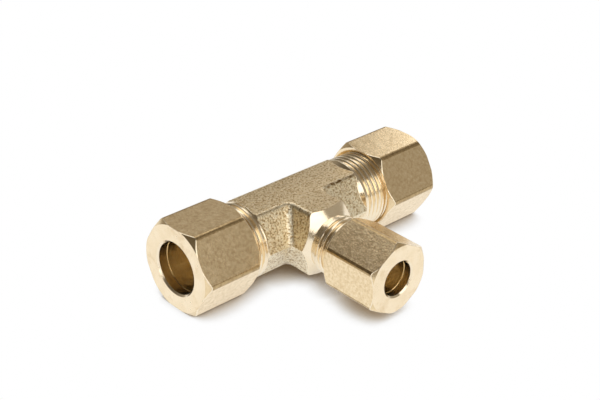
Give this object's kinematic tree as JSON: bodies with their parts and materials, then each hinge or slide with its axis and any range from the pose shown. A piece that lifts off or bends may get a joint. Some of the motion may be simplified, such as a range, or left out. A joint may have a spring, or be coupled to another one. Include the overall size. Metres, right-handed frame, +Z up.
{
  "type": "compression tee fitting",
  "caption": "Brass compression reducing tee: a forged body with hexagon nuts and sleeves that clamp two equal run tubes and a smaller branch tube.",
  "frame": {"origin": "where the run axis and the branch axis cross, in the middle of the straight-through passage", "axes": "+X along the run, towards the end whose nut is screwed on less far; -Y along the branch, out of its tube end; +Z up from the forging's parting plane, square to both axes"},
  "size_m": [0.057, 0.0363, 0.0158],
  "materials": {
    "forged_brass": "forged flats grainy and matt, turned threads and shoulders bright",
    "nut_brass": "drawn hexagon bar, satin with fine mottling, turned end faces bright",
    "sleeve_brass": "turned, bright"
  },
  "bodies": {
    "tee": {"tee_body": "forged_brass"},
    "run_sleeve_left": {"run_sleeve_left": "sleeve_brass"},
    "run_nut_left": {"run_nut_left": "nut_brass"},
    "run_sleeve_right": {"run_sleeve_right": "sleeve_brass"},
    "run_nut_right": {"run_nut_right": "nut_brass"},
    "branch_sleeve": {"branch_sleeve": "sleeve_brass"},
    "branch_nut": {"branch_nut": "nut_brass"}
  },
  "joints": [
    {"name": "left_sleeve_slide", "type": "slide", "parent": "tee", "child": "run_sleeve_left", "axis": [-1, 0, 0], "range_m": [-0.00069, 0.00595]},
    {"name": "left_nut_turn", "type": "hinge", "parent": "run_sleeve_left", "child": "run_nut_left", "pos_m": [-0.02685, 0, 0], "axis": [-1, 0, 0], "range_deg": [-236, 2025]},
    {"name": "right_sleeve_slide", "type": "slide", "parent": "tee", "child": "run_sleeve_right", "axis": [1, 0, 0], "range_m": [-0.00409, 0.00255]},
    {"name": "right_nut_turn", "type": "hinge", "parent": "run_sleeve_right", "child": "run_nut_right", "pos_m": [0.03025, 0, 0], "axis": [1, 0, 0], "range_deg": [-1393, 869]},
    {"name": "branch_sleeve_slide", "type": "slide", "parent": "tee", "child": "branch_sleeve", "axis": [0, -1, 0], "range_m": [-0.00087, 0.00614]},
    {"name": "branch_nut_turn", "type": "hinge", "parent": "branch_sleeve", "child": "branch_nut", "pos_m": [0, -0.0273, 0], "axis": [0, -1, 0], "range_deg": [-297, 2090]}
  ],
  "couplings": [
    {"joint": "left_nut_turn", "follows": "left_sleeve_slide", "rad_per_m": 5936.9},
    {"joint": "right_nut_turn", "follows": "right_sleeve_slide", "rad_per_m": 5936.9},
    {"joint": "branch_nut_turn", "follows": "branch_sleeve_slide", "rad_per_m": 5936.9}
  ]
}
